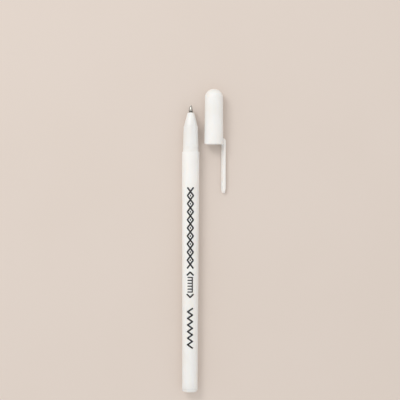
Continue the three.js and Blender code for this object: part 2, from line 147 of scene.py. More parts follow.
CAP_LENGTH = 28.13
PEN_PLACE = pen_place()
CAP_PLACE = cap_place(CAP_LENGTH * MM)
PLACES = {"pen": PEN_PLACE, "ball": PEN_PLACE, "cap": CAP_PLACE}
BARREL_START, BARREL_END = reach("barrel", PEN_PLACE)
PLUG_END = reach("tail_plug", PEN_PLACE)[1]
CONE_REAR, CONE_END = reach("nose_cone", PEN_PLACE)
TIP_REAR = reach("point_tip", PEN_PLACE)[0]
BALL_REAR, BALL_FRONT = reach("tip_ball", PEN_PLACE)
INK_REAR, INK_FRONT = reach("ink_charge", PEN_PLACE)
FOLLOWER_FRONT = reach("ink_follower", PEN_PLACE)[1]
LINER_START, LINER_END = reach("cap_liner", CAP_PLACE)
PAD_START, PAD_END = reach("seal_pad", CAP_PLACE)


# Sizes and colours that a user may change

def length(name, millimetres, description):
    return FloatProperty(
        name=name, description=description, default=millimetres * MM, min=0, unit="LENGTH", precision=5
    )


def count(name, default, description, least=1):
    return IntProperty(name=name, description=description, default=default, min=least)


def colour(name, default, description):
    return FloatVectorProperty(
        name=name, description=description, default=default, min=0, max=1, size=3, subtype="COLOR"
    )


class FABRICPEN_PG_barrel(bpy.types.PropertyGroup):
    tail_radius: length("Tail radius", half_width("tail_plug") + 0.01, "Radius at the tail end")
    shoulder_radius: length("Shoulder radius", half_width("barrel"), "Widest radius, at the shoulder")
    bore_radius: length("Bore radius", 3.05, "Radius of the hole through the barrel")
    neck_length: length("Neck length", 12.9, "Length of the neck that the cap slides over")
    neck_rear_radius: length("Neck radius at shoulder", 3.93, "Radius of the neck at the shoulder")
    neck_front_radius: length("Neck radius at front", 3.62, "Radius of the neck at its front end")
    bead_station: length("Bead station", 2.7, "From the shoulder to the middle of the snap bead")
    bead_width: length("Bead width", 0.9, "Width of the snap bead")
    bead_height: length("Bead height", 0.09, "How far the snap bead stands out")
    rim_round: length("Rim rounding", 0.1, "Rounding of the rims")
    shoulder_round: length("Shoulder rounding", 0.18, "Rounding of the shoulder's edge")
    root_round: length("Neck root rounding", 0.12, "Fillet where the neck leaves the shoulder")


class FABRICPEN_PG_plug(bpy.types.PropertyGroup):
    face_radius: length("Face radius", 2.7, "Radius of the flat on the end")
    head_length: length("Head length", 1.55, "Length of the head outside the barrel")
    rim_length: length("Rim length", 0.15, "Straight part of the head before it meets the barrel")
    spigot_radius: length("Spigot radius", 3.02, "Radius of the part pressed into the barrel")
    edge_round: length("Edge rounding", 0.1, "Rounding where the head meets the barrel")
    gate_radius: length("Gate dish radius", 0.7, "Radius of the dish left by the mould's gate")
    gate_depth: length("Gate dish depth", 0.12, "Depth of the dish left by the mould's gate")
    vent_width: length("Vent width", 0.6, "Width of the air groove on the underside")
    vent_depth: length("Vent depth", 0.45, "Depth of the air groove on the underside")


class FABRICPEN_PG_nose(bpy.types.PropertyGroup):
    cone_length: length("Cone length", 6.8, "Length of the cone outside the neck")
    base_radius: length("Base radius", 3.4, "Radius of the cone where it leaves the neck")
    front_radius: length("Front radius", 1.64, "Radius of the cone's front end")
    swell: length("Side swell", 0.08, "How far the cone's side bulges")
    bore_radius: length("Bore radius", 1.2, "Radius of the hole for the tip's shank")
    bore_length: length("Bore length", 3.9, "Length of the hole for the tip's shank")
    spigot_radius: length("Spigot radius", 3.02, "Radius of the part pressed into the neck")
    holder_radius: length("Holder bore radius", 2.15, "Radius of the hole for the tip holder")
    base_round: length("Base rounding", 0.09, "Rounding of the cone's base")
    front_round: length("Front rounding", 0.2, "Rounding of the cone's front rim")


class FABRICPEN_PG_point(bpy.types.PropertyGroup):
    shank_radius: length("Shank radius", 1.15, "Radius of the metal shank")
    shank_show: length("Shank shown", 1.4, "How much of the shank stands out of the cone")
    groove_start: length("Groove start", 0.4, "From the cone's front to the groove round the shank")
    groove_width: length("Groove width", 0.55, "Width of the groove round the shank")
    groove_depth: length("Groove depth", 0.16, "Depth of the groove round the shank")
    taper_radius: length("Taper radius", 1.02, "Radius where the taper starts")
    taper_swell: length("Taper swell", 0.13, "How far the taper's side bulges")
    tail_radius: length("Tail radius", 0.95, "Radius of the end held in the plastic holder")
    shank_rear: length("Shank set back", 3.9, "From the cone's front to the rear of the shank")
    bore_radius: length("Bore radius", 0.6, "Radius of the hole that the spring sits in")
    stop_radius: length("Rear stop radius", 0.47, "Radius of the rolled-in rear rim")
    stop_width: length("Rear stop width", 0.08, "Width of the rolled-in rear rim, and of the slope before it")
    lip_past: length("Lip past middle", 0.12, "How far the lip closes in past the middle of the ball")
    lip_wall: length("Lip wall", 0.115, "Wall of the lip around the ball")
    lip_step: length("Lip step", 0.02, "How much wider the taper's end is than the lip")
    lip_length: length("Lip length", 0.3, "Length of the lip in front of the taper")
    seat_clearance: length("Ball clearance", 0.015, "Room around the ball")
    channel_radius: length("Ink channel radius", 0.2, "Radius of the channel behind the ball")
    channel_length: length("Ink channel length", 0.85, "Length of the channel behind the ball's seat")


class FABRICPEN_PG_cap(bpy.types.PropertyGroup):
    length: length("Cap length", CAP_LENGTH, "From the mouth to the top of the dome")
    mouth_radius: length("Mouth radius", 4.77, "Outer radius at the mouth")
    dome_radius: length("Dome radius", 4.61, "Radius of the round end")
    mouth_bore: length("Bore radius at mouth", 4.05, "Inner radius at the mouth")
    neck_bore: length("Bore radius inside", 3.74, "Inner radius at the end of the neck")
    neck_depth: length("Neck depth", 12.9, "How deep the pen's neck goes into the cap")
    ledge_station: length("Ledge station", 13.5, "From the mouth to the ledge that the liner stops at")
    liner_bore: length("Liner bore radius", 3.6, "Inner radius around the liner")
    groove_station: length("Snap groove station", 2.7, "From the mouth to the middle of the snap groove")
    groove_width: length("Snap groove width", 1.8, "Width of the snap groove")
    groove_depth: length("Snap groove depth", 0.09, "Depth of the snap groove")
    mouth_round: length("Mouth rounding", 0.16, "Rounding of the mouth's outer rim")
    lead_in: length("Lead-in", 0.2, "Slope inside the mouth")


class FABRICPEN_PG_clip(bpy.types.PropertyGroup):
    reach: length("Reach", 24.8, "How far the clip runs past the mouth")
    width: length("Width", 2.6, "Width of the clip")
    inner: length("Inner face", 5.43, "From the cap's axis to the clip's inner face")
    outer: length("Outer face", 6.68, "From the cap's axis to the clip's outer face")
    root_height: length("Root height", 3.5, "From the mouth to the top of the clip's root")
    root_round: length("Root rounding", 1.9, "Height of the rounded top of the root")
    root_seat: length("Root seat", 4.25, "From the cap's axis to the root's inner side, within the wall")
    web_lift: length("Web lift", 0.3, "How far above the mouth the web under the clip starts")
    web_width: length("Web width", 1.6, "Width of the web that joins the clip to the cap's wall")
    web_reach: length("Web reach", 5.26, "From the cap's axis to where the clip's full width starts")
    web_curve: length("Web curve", 0.65, "Radius of the hollow where the web runs into the clip's inner face")
    edge_round: length("Edge rounding", 0.24, "Rounding of the clip's long edges")
    end_length: length("End length", 2.6, "Length over which the free end narrows")
    grip_station: length("Grip station", 20.6, "From the mouth to the middle of the gripping swelling")
    grip_length: length("Grip length", 3.2, "Length of the swelling")
    grip_width: length("Grip width", 1.5, "Width of the swelling")
    grip_height: length("Grip height", 0.32, "Height of the swelling")


class FABRICPEN_PG_seal(bpy.types.PropertyGroup):
    liner_radius: length("Liner radius", 3.57, "Outer radius of the liner")
    lip_radius: length("Lip radius", 3.367, "Inner radius at the liner's lip")
    seal_radius: length("Seal radius", 2.996, "Inner radius where the liner meets the nose cone")
    relief_radius: length("Relief radius", 3.046, "Inner radius behind the seal")
    seal_station: length("Seal station", 14.93, "From the mouth to the seal")
    seal_width: length("Seal width", 0.8, "Length over which the seal opens again")
    pocket_radius: length("Pad pocket radius", 1.73, "Radius of the pocket for the pad")
    pocket_gap: length("Pad gap", 0.03, "Room between the pad and the floor of its pocket")
    pad_proud: length("Pad proud", 0.4, "How far the pad stands out of its pocket")
    pad_radius: length("Pad radius", 1.7, "Radius of the pad")
    dent_radius: length("Dent radius", 0.5, "Radius of the dent that the ball leaves in the pad")
    dent_depth: length("Dent depth", 0.05, "Depth of the dent that the ball leaves in the pad")


class FABRICPEN_PG_ink(bpy.types.PropertyGroup):
    column_radius: length("Column radius", 2.45, "Radius of the ink in the tube")
    column_front: length("Column front", 120.05, "From the tail to the front of the wide ink column")
    stem_radius: length("Stem radius", 0.67, "Radius of the ink in the holder's passage")
    meniscus: length("Meniscus", 0.12, "Rounding of the ink's free rim")


class FABRICPEN_PG_print(bpy.types.PropertyGroup):
    stroke_width: length("Stroke width", 0.8, "Width of a printed stitch")
    fine_width: length("Fine stroke width", 0.6, "Width of the finer stitches")
    height: length("Row height", 3.8, "Size of the rows across the barrel")
    cross_start: length("Crosses start", 62.9, "From the tail to the start of the row of crosses")
    cross_end: length("Crosses end", 103.7, "From the tail to the end of the row of crosses")
    crosses: count("Crosses", 10, "How many crosses meet in the row")
    arrow_start: length("Arrows start", 48.2, "From the tail to the first arrow's point")
    arrow_end: length("Arrows end", 61.0, "From the tail to the second arrow's point")
    uprights: count("Upright stitches", 6, "How many stitches stand on the line", 2)
    weave_start: length("Herringbone start", 22.6, "From the tail to the start of the herringbone")
    weave_end: length("Herringbone end", 42.6, "From the tail to the end of the herringbone")
    weaves: count("Herringbone stitches", 12, "How many slanted stitches")
    thickness: length("Ink film", 0.024, "Thickness of the printed film, half of it sunk in the barrel")


class FABRICPEN_PG_colours(bpy.types.PropertyGroup):
    body_white: colour("Body white", (0.92, 0.915, 0.9), "Plastic of the barrel and the cap")
    plug_white: colour("Plug white", (0.9, 0.895, 0.88), "Plastic of the tail plug")
    nose_white: colour("Nose white", (0.91, 0.905, 0.89), "Plastic of the nose cone")
    print_black: colour("Print black", (0.012, 0.012, 0.014), "Ink of the stitch pattern")
    tip_metal: colour("Tip metal", (0.48, 0.468, 0.445), "Nickel silver of the tip")
    ball_metal: colour("Ball metal", (0.62, 0.62, 0.63), "Hard metal of the ball")
    # Painted shade: a near-black colour painted in the groove round the tip, standing in for the shadow in it.
    residue: colour("Residue", (0.012, 0.011, 0.01), "Painted shade in the groove round the tip")
    wire: colour("Spring wire", (0.66, 0.67, 0.68), "Stainless wire of the spring")
    natural: colour("Natural plastic", (0.82, 0.84, 0.86), "Uncoloured plastic of the tube and holder")
    liner: colour("Liner plastic", (0.86, 0.87, 0.87), "Soft plastic of the cap's liner")
    pad: colour("Pad", (0.72, 0.7, 0.66), "Elastomer of the seal pad")
    ink: colour("Ink", (0.95, 0.95, 0.94), "White ink that the pen writes with")
    grease: colour("Grease", (0.85, 0.8, 0.62), "Grease that follows the ink")


class FABRICPEN_PG_stage(bpy.types.PropertyGroup):
    floor_colour: colour("Floor colour", (0.727, 0.645, 0.592), "Pale floor under the pen")
    backdrop: colour("Backdrop colour", (0.73, 0.655, 0.595), "The sky's colour where it meets the floor")
    sky: colour("Sky colour", (0.835, 0.825, 0.805), "Even light from above")
    lamp: FloatProperty(
        name="Lamp power", description="Power of the soft lamp at the upper left", default=2.3, min=0,
        unit="POWER",
    )
    lamp_colour: colour("Lamp colour", (1.0, 0.985, 0.96), "Colour of the soft lamp's light")
    lamp_place: FloatVectorProperty(
        name="Lamp place", description="Where the soft lamp hangs", default=(-0.42, 0.5, 0.74), size=3,
        subtype="TRANSLATION", unit="LENGTH",
    )
    lamp_size: length("Lamp size", 420, "Width of the soft lamp")
    camera_height: length("Camera height", 750, "Height of the camera over the floor")
    lens: FloatProperty(
        name="Lens", description="Focal length in millimetres on a 36 mm sensor", default=132.2, min=1
    )
    roll: FloatProperty(
        name="Roll", description="Turn of the camera about its view", default=math.radians(0.2),
        subtype="ANGLE",
    )


class FABRICPEN_PG_settings(bpy.types.PropertyGroup):
    barrel: PointerProperty(name="Barrel", type=FABRICPEN_PG_barrel)
    plug: PointerProperty(name="Tail plug", type=FABRICPEN_PG_plug)
    nose: PointerProperty(name="Nose cone", type=FABRICPEN_PG_nose)
    point: PointerProperty(name="Point", type=FABRICPEN_PG_point)
    cap: PointerProperty(name="Cap", type=FABRICPEN_PG_cap)
    clip: PointerProperty(name="Clip", type=FABRICPEN_PG_clip)
    seal: PointerProperty(name="Cap seal", type=FABRICPEN_PG_seal)
    ink: PointerProperty(name="Ink", type=FABRICPEN_PG_ink)
    print: PointerProperty(name="Stitch print", type=FABRICPEN_PG_print)
    colours: PointerProperty(name="Colours", type=FABRICPEN_PG_colours)
    stage: PointerProperty(name="Stage", type=FABRICPEN_PG_stage)


def entries(group):
    """A property group's own properties."""
    return [entry for entry in group.bl_rna.properties if entry.identifier not in ("rna_type", "name")]


def millimetres(group):
    """A property group's values by name, its lengths in millimetres."""
    found = {}
    for entry in entries(group):
        value = getattr(group, entry.identifier)
        is_length = getattr(entry, "unit", "NONE") == "LENGTH"
        found[entry.identifier] = round(value / MM, 5) if is_length else value
    return SimpleNamespace(**found)


# Modelling

def pick(piece):
    """Selects one piece alone and makes it active."""
    bpy.ops.object.select_all(action="DESELECT")
    piece.select_set(True)
    bpy.context.view_layer.objects.active = piece


def begin(name, add, **settings):
    """Adds a primitive to start a piece from, with nothing else selected."""
    bpy.ops.object.select_all(action="DESELECT")
    add(**settings)
    piece = bpy.context.object
    piece.name = piece.data.name = name
    return piece


@contextmanager
def editing(piece):
    """Edit mode on one piece, with everything in it selected."""
    pick(piece)
    bpy.ops.object.mode_set(mode="EDIT")
    bpy.ops.mesh.select_mode(type="VERT")
    bpy.ops.mesh.select_all(action="SELECT")
    yield
    bpy.ops.object.mode_set(mode="OBJECT")


def choose(piece, parts, wanted):
    """In edit mode, selects only the vertices, edges or faces that are wanted."""
    bpy.ops.mesh.select_mode(type={"verts": "VERT", "edges": "EDGE", "faces": "FACE"}[parts])
    bpy.ops.mesh.select_all(action="DESELECT")
    mesh = bmesh.from_edit_mesh(piece.data)
    for part in getattr(mesh, parts):
        if wanted(part):
            part.select_set(True)
    mesh.select_flush_mode()
    bmesh.update_edit_mesh(piece.data)


def extrude(x, y, z):
    """Extrudes what is selected by a step."""
    bpy.ops.mesh.extrude_region_move(TRANSFORM_OT_translate={"value": (x, y, z)})


def put_in_order():
    """In edit mode, sorts corners, edges and faces by their place. Blender's merging leaves them in an order
    that changes from run to run, and the shape of a cut or a merge can depend on it."""
    mesh = bmesh.from_edit_mesh(bpy.context.edit_object.data)
    middles = (
        (mesh.verts, lambda v: v.co),
        (mesh.edges, lambda e: e.verts[0].co + e.verts[1].co),
        (mesh.faces, lambda f: f.calc_center_median()),
    )
    for parts, middle in middles:
        parts.sort(key=lambda part: middle(part).dot(SORT_WAY))
        parts.index_update()
    bmesh.update_edit_mesh(bpy.context.edit_object.data)


def merge_near(distance=NEAR):
    """Merges corners that are nearer to each other than a distance."""
    put_in_order()
    bpy.ops.mesh.select_all(action="SELECT")
    bpy.ops.mesh.remove_doubles(threshold=distance)
    put_in_order()


def close_up():
    """Merges what meets and turns every face outwards."""
    merge_near()
    bpy.ops.mesh.normals_make_consistent(inside=False)


def between(first, last, along):
    """The value part of the way from the first to the last."""
    return first + (last - first) * along


def draw(name, corners):
    """Draws a line in the XZ plane by extruding a vertex from corner to corner, and rounds its corners.
    A corner is (x, z) or (x, z, rounding)."""
    piece = begin(name, bpy.ops.mesh.primitive_plane_add, size=1)
    places = [Vector((corner[0], 0, corner[1])) for corner in corners]
    with editing(piece):
        bpy.ops.mesh.merge(type="CENTER")
        bpy.ops.transform.translate(value=places[0])
        for last, place in zip(places, places[1:]):
            extrude(*(place - last))
        merge_near()
        for rounding in sorted({corner[2] for corner in corners if len(corner) == 3}):
            sharp = [p for p, corner in zip(places, corners) if corner[2:] == (rounding,)]
            choose(piece, "verts", lambda v: any((v.co - p).length < 10 * NEAR for p in sharp))
            bpy.ops.mesh.bevel(offset=rounding, segments=ROUND_SEGMENTS, affect="VERTICES")
    return piece


def turn(name, corners, steps=TURN_STEPS):
    """A turned piece: a section of (radius, station) corners, spun about Z."""
    piece = draw(name, corners)
    with editing(piece):
        bpy.ops.mesh.spin(steps=steps, angle=math.tau, center=(0, 0, 0), axis=(0, 0, 1))
        close_up()
    smooth(piece)
    return piece


def arc(centre, radius, start, end, steps):
    """Corners on part of a circle about a point of the axis; angle 0 points straight out from the axis."""
    angles = [start + (end - start) * i / steps for i in range(steps + 1)]
    return [(radius * math.cos(a), centre + radius * math.sin(a)) for a in angles]


def bulge(start, end, swell, steps):
    """Corners of a side that bulges between its start and its end, which are left out."""
    corners = []
    for along in (i / steps for i in range(1, steps)):
        radius, station = (between(first, last, along) for first, last in zip(start, end))
        corners.append((radius + swell * math.sin(math.pi * along), station))
    return corners


def swelling(middle, width, height, radius_at, steps=10):
    """Corners of a smooth ring that stands out of a side, whose radius at a station is radius_at(station)."""
    stations = [middle + width * (i / steps - 0.5) for i in range(steps + 1)]
    return [
        (radius_at(s) + height * (0.5 + 0.5 * math.cos(math.tau * (s - middle) / width)), s) for s in stations
    ]


def smooth(piece):
    """Shades a piece smooth, apart from its sharp edges."""
    pick(piece)
    bpy.ops.object.shade_smooth_by_angle(angle=SMOOTH_ANGLE)


def combine(piece, other, operation):
    """Joins another shape to a piece or cuts it out of the piece, and removes that other shape."""
    pick(piece)
    modifier = piece.modifiers.new("Combine", "BOOLEAN")
    modifier.operation = operation
    modifier.solver = "EXACT"
    modifier.object = other
    bpy.ops.object.modifier_apply(modifier=modifier.name)
    bpy.data.objects.remove(other)


def make_cutter(middle, spans, rounded):
    """A box to cut with. Its edges are rounded where both ends are corners that are to be rounded."""
    cutter = begin("cutter", bpy.ops.mesh.primitive_cube_add, size=1)
    with editing(cutter):
        bpy.ops.transform.resize(value=spans)
        bpy.ops.transform.translate(value=middle)
        choose(cutter, "edges", lambda e: all(rounded(v.co) for v in e.verts))
        bpy.ops.mesh.bevel(offset=0.12, segments=3, affect="EDGES")
        put_in_order()
    return cutter


def apply_place(piece):
    """Moves a piece's place, turn and scale into its mesh, which leaves its object at the origin."""
    pick(piece)
    bpy.ops.object.transform_apply(location=True, rotation=True, scale=True)


def settle(piece, place):
    """Lays a piece drawn in millimetres in its place in metres."""
    piece.matrix_world = place @ Matrix.Scale(MM, 4)
    apply_place(piece)


def paint(piece, material):
    """Gives a piece one finish all over."""
    piece.data.materials.clear()
    piece.data.materials.append(material)


def finish_piece(piece, material, body, node, slot):
    """Lays a piece in place, gives it its finish, has it ride on its body and stand for a CAD node."""
    settle(piece, PLACES[body])
    paint(piece, material)
    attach(piece, body)
    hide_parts(node)


def finish_node(name, material):
    """Gives a CAD node that is shown as it is its finish."""
    for slot in frame["nodes"][name].material_slots:
        slot.material = material


# Nodes

SOCKET_KINDS = {"Position": "NodeSocketVector", "Colour": "NodeSocketColor", "Deep Colour": "NodeSocketColor"}


def add_node(tree, kind, inputs=None, **settings):
    """Adds a node; an input is linked if it is given as a socket, and otherwise set."""
    made = tree.nodes.new(kind)
    made.location = (220 * (len(tree.nodes) - 1), 0)
    for name, value in settings.items():
        setattr(made, name, value)
    for name, value in (inputs or {}).items():
        if isinstance(value, bpy.types.NodeSocket):
            tree.links.new(value, made.inputs[name])
        else:
            made.inputs[name].default_value = value
    return made


def noise(tree, position, scale, detail=2.0, roughness=0.5):
    """A value that wanders softly from place to place."""
    inputs = {"Vector": position, "Scale": scale, "Detail": detail, "Roughness": roughness}
    return add_node(tree, "ShaderNodeTexNoise", inputs).outputs["Fac"]


def calculate(tree, operation, first, second=0.0):
    """The sum, product or the like of two values."""
    return add_node(tree, "ShaderNodeMath", {0: first, 1: second}, operation=operation).outputs[0]


def remap(tree, value, low, high, at_low=0.0, at_high=1.0, curve="SMOOTHSTEP"):
    """A value that goes from one level to another while the given one goes from low to high."""
    inputs = {"Value": value, "From Min": low, "From Max": high, "To Min": at_low, "To Max": at_high}
    return add_node(tree, "ShaderNodeMapRange", inputs, interpolation_type=curve).outputs["Result"]


def mix(tree, share, first, second):
    """A colour between two others."""
    return add_node(tree, "ShaderNodeMix", {0: share, 6: first, 7: second}, data_type="RGBA").outputs[2]


def along_axis(tree, vector, axis):
    """One of a vector's three parts."""
    return add_node(tree, "ShaderNodeSeparateXYZ", {"Vector": vector}).outputs[axis]


def stretch(tree, position, scale):
    """Scales coordinates, to draw a pattern out along one direction."""
    inputs = {"Vector": position, "Scale": scale}
    return add_node(tree, "ShaderNodeMapping", inputs).outputs["Vector"]


def titled(name):
    """A function's or argument's name as the name of a group or socket."""
    return name.replace("_", " ").title()


def shared_group(*outputs):
    """Turns a function that wires nodes into one that adds them as a node group, which is built once.
    The group's inputs are named after the function's arguments."""
    def shared(wire):
        def build():
            group = bpy.data.node_groups.new(titled(wire.__name__), "ShaderNodeTree")
            inputs = [titled(name) for name in signature(wire).parameters if name != "tree"]
            for way, names in (("INPUT", inputs), ("OUTPUT", outputs)):
                for name in names:
                    kind = SOCKET_KINDS.get(name, "NodeSocketFloat")
                    group.interface.new_socket(name, in_out=way, socket_type=kind)
            given = add_node(group, "NodeGroupInput").outputs
            made = wire(group, *[given[name] for name in inputs])
            add_node(group, "NodeGroupOutput", dict(zip(outputs, made)))
            return group

        def add(tree, *values, **named):
            given = signature(wire).bind(tree, *values, **named).arguments
            inputs = {titled(name): value for name, value in given.items() if name != "tree"}
            group = bpy.data.node_groups.get(titled(wire.__name__)) or build()
            made = add_node(tree, "ShaderNodeGroup", inputs, node_tree=group).outputs
            return made[0] if len(made) == 1 else made[:]

        return add

    return shared


# Effects that several materials share

@shared_group("Height")
def moulded_skin(tree, position, ripple_scale, grain_scale, grain_share):
    """Height of the faint ripple and the fine grain that a mould leaves on plastic."""
    ripple = noise(tree, position, ripple_scale, 1.0)
    grain = calculate(tree, "MULTIPLY", noise(tree, position, grain_scale, 3.0, 0.6), grain_share)
    return [calculate(tree, "ADD", ripple, grain)]


@shared_group("Colour")
def shade_drift(tree, position, colour, deep_colour, scale, amount):
    """A colour that drifts a little between two shades, as pigment does in a moulding."""
    drift = remap(tree, noise(tree, position, scale, 3.0), 0.35, 0.7, 0.0, amount)
    return [mix(tree, drift, colour, deep_colour)]


@shared_group("Roughness")
def handled_gloss(tree, position, roughness, smudge, smudge_scale, scuff):
    """Roughness with soft smudges and fine scuffs that run along the piece."""
    smudges = calculate(tree, "MULTIPLY", noise(tree, position, smudge_scale, 4.0, 0.6), smudge)
    scuffs = noise(tree, stretch(tree, position, (9.0, 9.0, 0.35)), 1.0, 2.0)
    scuffs = calculate(tree, "MULTIPLY", remap(tree, scuffs, 0.62, 0.75, curve="LINEAR"), scuff)
    return [calculate(tree, "ADD", roughness, calculate(tree, "ADD", smudges, scuffs))]


@shared_group("Height")
def parting_line(tree, position, width, height):
    """Height of the hairline ridge where the mould's halves met, in the plane through the piece's sides."""
    away = calculate(tree, "DIVIDE", calculate(tree, "ABSOLUTE", along_axis(tree, position, "Y")), width)
    return [remap(tree, away, 0.0, 1.0, height, 0.0)]


@shared_group("Height", "Streak")
def turned_rings(tree, position, pitch, waver):
    """Height and streaks of the fine rings that a lathe tool leaves round a piece."""
    flat = stretch(tree, position, (0.02, 0.02, 1.0))
    rings = noise(tree, flat, calculate(tree, "DIVIDE", 1.0, pitch), 2.0, 0.7)
    wavers = calculate(tree, "MULTIPLY", noise(tree, position, 1.5, 2.0), waver)
    return [rings, calculate(tree, "ADD", rings, wavers)]


@shared_group("Mask")
def settled_ring(tree, position, station, half_width):
    """Where shade is painted in a dark ring round a piece, with an uneven edge."""
    away = calculate(tree, "SUBTRACT", along_axis(tree, position, "Z"), station)
    uneven = calculate(tree, "MULTIPLY", noise(tree, position, 2.2, 3.0), 0.25)
    away = calculate(tree, "ADD", calculate(tree, "ABSOLUTE", away), uneven)
    return [remap(tree, away, calculate(tree, "MULTIPLY", half_width, 0.7), half_width, 1.0, 0.0)]


# Materials

def start_material(name, place):
    """A material, its nodes, and its coordinates in millimetres along the pen or cap."""
    material = bpy.data.materials.new(name)
    material.use_nodes = True
    tree = material.node_tree
    tree.nodes.clear()
    inputs = {
        "Vector": add_node(tree, "ShaderNodeTexCoord").outputs["Object"],
        "Location": place.to_translation(),
        "Rotation": place.to_euler(),
        "Scale": (MM, MM, MM),
    }
    position = add_node(tree, "ShaderNodeMapping", inputs, vector_type="TEXTURE").outputs["Vector"]
    return material, tree, position


def end_material(tree, tint, gloss, height, strength, relief, **plain):
    """The shader, with a height as relief of so many millimetres. What is the same all over a piece is set on
    the shader's own sockets."""
    bump = add_node(tree, "ShaderNodeBump", {"Height": height, "Strength": strength, "Distance": relief * MM})
    shader = add_node(tree, "ShaderNodeBsdfPrincipled", {
        "Base Color": tint, "Roughness": gloss, "Normal": bump.outputs["Normal"],
        **{name.replace("_", " "): value for name, value in plain.items()},
    })
    add_node(tree, "ShaderNodeOutputMaterial", {"Surface": shader.outputs["BSDF"]}, is_active_output=True)
    return shader


def deeper(tone, amount):
    """A slightly darker and warmer shade of a colour, with its alpha."""
    return tuple(part * (1 - amount * drop) for part, drop in zip(tone, (0.8, 1.0, 1.35))) + (1,)


def brighter(tone, times):
    """A colour made so many times as bright, with its alpha."""
    return (*[min(1, part * times) for part in tone], 1)


def skinned(name, place, tone, deep, drift, gloss, skin, bump, seam=0.0, **plain):
    """A finish whose shade drifts, whose gloss is handled and whose skin has relief, with a parting line if
    seam gives its height. Drift is (scale, amount), gloss (roughness, smudge, smudge scale, scuff), skin
    (ripple scale, grain scale, grain share) and bump (strength, relief)."""
    material, tree, position = start_material(name, place)
    tint = shade_drift(tree, position, (*tone, 1), deep, *drift)
    rough = handled_gloss(tree, position, *gloss)
    height = moulded_skin(tree, position, *skin)
    if seam:
        height = calculate(tree, "ADD", height, parting_line(tree, position, SEAM_WIDTH, seam))
    end_material(tree, tint, rough, height, *bump, **plain)
    return material


def moulded_plastic(name, place, tone, roughness=0.3, ripple=0.35, smudge=0.1, soft=0.5, seam=0.0):
    """Smooth moulded plastic: soft gloss, faint ripple, a slight drift in shade, perhaps a parting line."""
    return skinned(
        name, place, tone, deeper(tone, 0.05), drift=(0.12, 0.7), gloss=(roughness, smudge, 0.35, 0.05),
        skin=(ripple, 14.0, 0.05), bump=(0.5, 0.02), seam=seam, Subsurface_Weight=soft,
        Subsurface_Radius=(1.0, 0.9, 0.8), Subsurface_Scale=1.5 * MM, IOR=1.49,
    )


def clear_plastic(name, tone, see_through, roughness=0.35):
    """Uncoloured plastic or grease that lets some light through."""
    return skinned(
        name, PEN_PLACE, tone, deeper(tone, 0.1), drift=(0.3, 0.8), gloss=(roughness, 0.12, 0.6, 0.03),
        skin=(0.5, 9.0, 0.1), bump=(0.4, 0.02), Transmission_Weight=see_through, IOR=1.49,
    )


def printed_ink(tone):
    """Pad-printed ink: near black, slightly uneven and less glossy than the plastic under it."""
    return skinned(
        "Printed ink", PEN_PLACE, tone, brighter(tone, 2.6), drift=(1.6, 0.8), gloss=(0.42, 0.15, 2.0, 0.05),
        skin=(1.2, 18.0, 0.5), bump=(0.4, 0.01), Specular_IOR_Level=0.3,
    )


def turned_metal(name, tone, roughness=0.14, pitch=0.05, relief=0.0015, residue=None, dark_ring=()):
    """Turned metal: fine rings round the pen's axis in its height, colour and gloss. Where residue is given,
    shade is painted in a dark ring, which is given as its station and half its width."""
    material, tree, position = start_material(name, PEN_PLACE)
    rings, streak = turned_rings(tree, position, pitch, 0.4)
    tint = mix(tree, streak, deeper(tone, 0.12), brighter(tone, 1.06))
    gloss = handled_gloss(tree, position, roughness, 0.08, 1.5, 0.04)
    # Painted shade: the ring is mixed to near black, made rougher and less metallic, standing in for the shadow in
    # the groove.
    if residue:
        mask = settled_ring(tree, position, *dark_ring)
        tint = mix(tree, mask, tint, (*residue, 1))
        gloss = calculate(tree, "ADD", gloss, calculate(tree, "MULTIPLY", mask, 0.3))
    shader = end_material(tree, tint, gloss, rings, 0.6, relief, Metallic=1.0)
    if residue:
        tree.links.new(calculate(tree, "SUBTRACT", 1.0, mask), shader.inputs["Metallic"])
    return material


# Operators

class FABRICPEN_OT_barrel(bpy.types.Operator):
    """Builds the barrel: a long slightly tapered tube with a shoulder and a stepped neck"""

    bl_idname = "fabric_pen.barrel"
    bl_label = "Barrel"

    def execute(self, context):
        pen = context.scene.fabric_pen
        size = millimetres(pen.barrel)
        shoulder = BARREL_END - size.neck_length

        def neck_radius(station):
            along = (station - shoulder) / size.neck_length
            return between(size.neck_rear_radius, size.neck_front_radius, along)

        barrel = turn("barrel_moulding", [
            (size.bore_radius, BARREL_START, size.rim_round),
            (size.tail_radius, BARREL_START, size.rim_round),
            (size.shoulder_radius, shoulder, size.shoulder_round),
            (size.neck_rear_radius, shoulder, size.root_round),
            *swelling(shoulder + size.bead_station, size.bead_width, size.bead_height, neck_radius),
            (size.neck_front_radius, BARREL_END, size.rim_round),
            (size.bore_radius, BARREL_END, size.rim_round),
            (size.bore_radius, BARREL_START),
        ])
        white = moulded_plastic("Barrel plastic", PEN_PLACE, pen.colours.body_white, seam=0.25)
        finish_piece(barrel, white, "pen", "barrel", "barrel_white")
        return {"FINISHED"}


